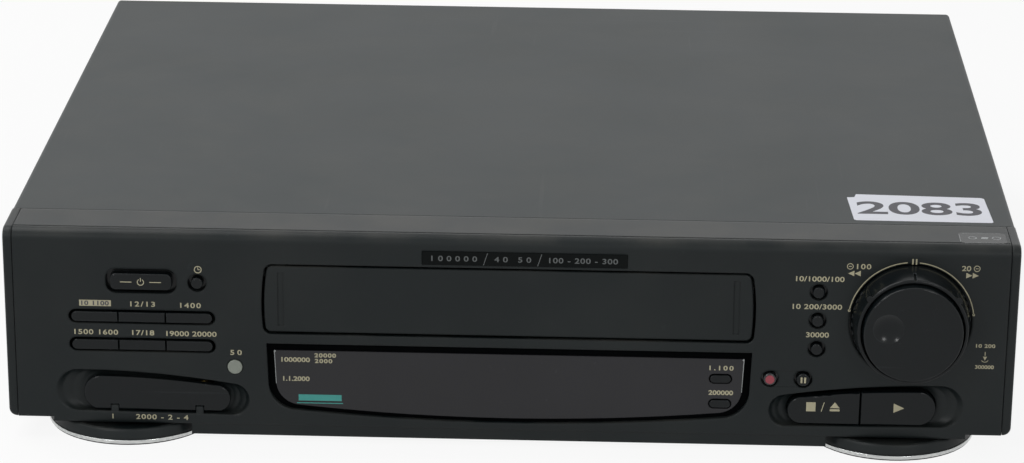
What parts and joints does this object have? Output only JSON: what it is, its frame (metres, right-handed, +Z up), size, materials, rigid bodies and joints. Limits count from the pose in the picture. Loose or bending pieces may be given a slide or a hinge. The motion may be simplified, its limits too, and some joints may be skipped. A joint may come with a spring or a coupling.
{
  "type": "video cassette recorder",
  "caption": "Black front-loading video cassette recorder with a swinging cassette flap, smoked display window, push keys, jog dial and shuttle ring, on disc feet.",
  "frame": {"origin": "on the floor under the middle of the recorder's bounding box", "axes": "+X to the viewer's right along the width, +Y from the front face to the back, +Z up"},
  "size_m": [0.4, 0.3632, 0.088],
  "materials": {
    "case_paint": "matt",
    "panel_plastic": "satin",
    "button_plastic": "satin",
    "record_plastic": "gloss",
    "smoked_window": "gloss",
    "clear_glass": "gloss",
    "badge_plastic": "gloss",
    "lamp_plastic": "satin",
    "chrome_ring": "polished",
    "rubber": "matt",
    "zinc_steel": "satin",
    "deck_steel": "satin",
    "drum_aluminium": "polished",
    "screw_steel": "satin",
    "circuit_board": "satin",
    "white_nylon": "satin",
    "black_moulding": "satin",
    "socket_metal": "satin"
  },
  "bodies": {
    "case": {"audio_sockets": "black_moulding", "av_jacks": "socket_metal", "badge_strip": "badge_plastic", "bottom_chassis": "zinc_steel", "cover_screws": "screw_steel", "deck_plate": "deck_steel", "dial_encoder": "black_moulding", "display_tube": "clear_glass", "display_window": "smoked_window", "foot_rings": "chrome_ring", "front_boards": "circuit_board", "front_feet": "panel_plastic", "front_panel": "panel_plastic", "indicator_lens": "lamp_plastic", "loading_frame": "zinc_steel", "loading_motor": "deck_steel", "lower_drum": "drum_aluminium", "main_board": "circuit_board", "mains_inlet": "black_moulding", "panel_end_cap_left": "panel_plastic", "panel_end_cap_right": "panel_plastic", "power_supply": "circuit_board", "rear_panel": "zinc_steel", "rubber_feet": "rubber", "scart_sockets": "black_moulding", "tact_switches": "black_moulding", "top_cover": "case_paint", "tuner_module": "zinc_steel"},
    "cassette_flap": {"cassette_flap": "panel_plastic"},
    "av_door": {"av_door": "button_plastic"},
    "shuttle_ring": {"shuttle_ring": "button_plastic"},
    "jog_dial": {"jog_dial": "button_plastic"},
    "carriage_slider": {"carriage_slider": "zinc_steel"},
    "cassette_basket": {"cassette_basket": "zinc_steel"},
    "upper_drum": {"upper_drum": "drum_aluminium"},
    "supply_reel": {"supply_reel": "white_nylon"},
    "takeup_reel": {"takeup_reel": "white_nylon"},
    "capstan": {"capstan": "deck_steel"},
    "pinch_arm": {"pinch_arm": "deck_steel"},
    "pinch_roller": {"pinch_roller": "rubber"},
    "supply_guide": {"supply_guide": "deck_steel"},
    "takeup_guide": {"takeup_guide": "deck_steel"},
    "cam_gear": {"cam_gear": "white_nylon"},
    "power_button": {"power_button": "button_plastic"},
    "timer_button": {"timer_button": "button_plastic"},
    "key_1": {"key_1": "button_plastic"},
    "key_2": {"key_2": "button_plastic"},
    "key_3": {"key_3": "button_plastic"},
    "key_4": {"key_4": "button_plastic"},
    "key_5": {"key_5": "button_plastic"},
    "key_6": {"key_6": "button_plastic"},
    "set_button_1": {"set_button_1": "button_plastic"},
    "set_button_2": {"set_button_2": "button_plastic"},
    "set_button_3": {"set_button_3": "button_plastic"},
    "record_button": {"record_button": "record_plastic"},
    "pause_button": {"pause_button": "button_plastic"},
    "window_button_1": {"window_button_1": "button_plastic"},
    "window_button_2": {"window_button_2": "button_plastic"},
    "stop_eject_key": {"stop_eject_key": "button_plastic"},
    "play_key": {"play_key": "button_plastic"}
  },
  "joints": [
    {"name": "flap_hinge", "type": "hinge", "parent": "case", "child": "cassette_flap", "pos_m": [-0.0004, -0.16395, 0.0739], "axis": [1, 0, 0], "range_deg": [0, 85], "stiffness_Nm_per_rad": 0.003, "springref_deg": -17.19},
    {"name": "av_door_hinge", "type": "hinge", "parent": "case", "child": "av_door", "pos_m": [-0.1404, -0.16475, 0.0133], "axis": [1, 0, 0], "range_deg": [0, 95]},
    {"name": "shuttle_turn", "type": "hinge", "parent": "case", "child": "shuttle_ring", "pos_m": [0.1581, -0.16635, 0.0564], "axis": [0, 1, 0], "range_deg": [-60, 60], "stiffness_Nm_per_rad": 0.03},
    {"name": "jog_turn", "type": "hinge", "parent": "case", "child": "jog_dial", "pos_m": [0.1581, -0.16635, 0.0564], "axis": [0, 1, 0], "continuous": true},
    {"name": "carriage_run", "type": "slide", "parent": "case", "child": "carriage_slider", "axis": [0, 1, 0], "range_m": [0, 0.06]},
    {"name": "basket_drop", "type": "slide", "parent": "carriage_slider", "child": "cassette_basket", "axis": [0, 0, -1], "range_m": [0, 0.012]},
    {"name": "drum_spin", "type": "hinge", "parent": "case", "child": "upper_drum", "pos_m": [0, 0.07365, 0.0295], "axis": [0, 0, 1], "continuous": true},
    {"name": "supply_reel_spin", "type": "hinge", "parent": "case", "child": "supply_reel", "pos_m": [-0.0462, -0.03235, 0.0295], "axis": [0, 0, 1], "continuous": true},
    {"name": "takeup_reel_spin", "type": "hinge", "parent": "case", "child": "takeup_reel", "pos_m": [0.0462, -0.03235, 0.0295], "axis": [0, 0, 1], "continuous": true},
    {"name": "capstan_spin", "type": "hinge", "parent": "case", "child": "capstan", "pos_m": [0.064, 0.04765, 0.0295], "axis": [0, 0, 1], "continuous": true},
    {"name": "cam_turn", "type": "hinge", "parent": "case", "child": "cam_gear", "pos_m": [-0.082, 0.09565, 0.0295], "axis": [0, 0, 1], "range_deg": [0, 270]},
    {"name": "pinch_arm_swing", "type": "hinge", "parent": "case", "child": "pinch_arm", "pos_m": [0.088, 0.05565, 0.0295], "axis": [0, 0, 1], "range_deg": [0, 35]},
    {"name": "pinch_roller_spin", "type": "hinge", "parent": "pinch_arm", "child": "pinch_roller", "pos_m": [0.07093, 0.06953, 0.0295], "axis": [0, 0, 1], "continuous": true},
    {"name": "supply_guide_run", "type": "slide", "parent": "case", "child": "supply_guide", "axis": [-0.0712, 0.9975, 0], "range_m": [0, 0.07018]},
    {"name": "takeup_guide_run", "type": "slide", "parent": "case", "child": "takeup_guide", "axis": [0.0712, 0.9975, 0], "range_m": [0, 0.07018]},
    {"name": "power_button_press", "type": "slide", "parent": "case", "child": "power_button", "axis": [0, 1, 0], "range_m": [0, 0.0008], "stiffness_N_per_m": 1200},
    {"name": "timer_button_press", "type": "slide", "parent": "case", "child": "timer_button", "axis": [0, 1, 0], "range_m": [0, 0.0008], "stiffness_N_per_m": 1200},
    {"name": "key_1_press", "type": "slide", "parent": "case", "child": "key_1", "axis": [0, 1, 0], "range_m": [0, 0.0008], "stiffness_N_per_m": 1200},
    {"name": "key_2_press", "type": "slide", "parent": "case", "child": "key_2", "axis": [0, 1, 0], "range_m": [0, 0.0008], "stiffness_N_per_m": 1200},
    {"name": "key_3_press", "type": "slide", "parent": "case", "child": "key_3", "axis": [0, 1, 0], "range_m": [0, 0.0008], "stiffness_N_per_m": 1200},
    {"name": "key_4_press", "type": "slide", "parent": "case", "child": "key_4", "axis": [0, 1, 0], "range_m": [0, 0.0008], "stiffness_N_per_m": 1200},
    {"name": "key_5_press", "type": "slide", "parent": "case", "child": "key_5", "axis": [0, 1, 0], "range_m": [0, 0.0008], "stiffness_N_per_m": 1200},
    {"name": "key_6_press", "type": "slide", "parent": "case", "child": "key_6", "axis": [0, 1, 0], "range_m": [0, 0.0008], "stiffness_N_per_m": 1200},
    {"name": "set_button_1_press", "type": "slide", "parent": "case", "child": "set_button_1", "axis": [0, 1, 0], "range_m": [0, 0.0008], "stiffness_N_per_m": 1200},
    {"name": "set_button_2_press", "type": "slide", "parent": "case", "child": "set_button_2", "axis": [0, 1, 0], "range_m": [0, 0.0008], "stiffness_N_per_m": 1200},
    {"name": "set_button_3_press", "type": "slide", "parent": "case", "child": "set_button_3", "axis": [0, 1, 0], "range_m": [0, 0.0008], "stiffness_N_per_m": 1200},
    {"name": "record_button_press", "type": "slide", "parent": "case", "child": "record_button", "axis": [0, 1, 0], "range_m": [0, 0.0008], "stiffness_N_per_m": 1200},
    {"name": "pause_button_press", "type": "slide", "parent": "case", "child": "pause_button", "axis": [0, 1, 0], "range_m": [0, 0.0008], "stiffness_N_per_m": 1200},
    {"name": "window_button_1_press", "type": "slide", "parent": "case", "child": "window_button_1", "axis": [0, 1, 0], "range_m": [0, 0.0008], "stiffness_N_per_m": 1200},
    {"name": "window_button_2_press", "type": "slide", "parent": "case", "child": "window_button_2", "axis": [0, 1, 0], "range_m": [0, 0.0008], "stiffness_N_per_m": 1200},
    {"name": "stop_eject_key_press", "type": "slide", "parent": "case", "child": "stop_eject_key", "axis": [0, 1, 0], "range_m": [0, 0.0008], "stiffness_N_per_m": 1200},
    {"name": "play_key_press", "type": "slide", "parent": "case", "child": "play_key", "axis": [0, 1, 0], "range_m": [0, 0.0008], "stiffness_N_per_m": 1200}
  ],
  "couplings": [
    {"joint": "supply_guide_run", "follows": "cam_turn", "m_per_rad": 0.014891},
    {"joint": "takeup_guide_run", "follows": "cam_turn", "m_per_rad": 0.014891},
    {"joint": "pinch_arm_swing", "follows": "cam_turn", "ratio": 0.12962}
  ]
}
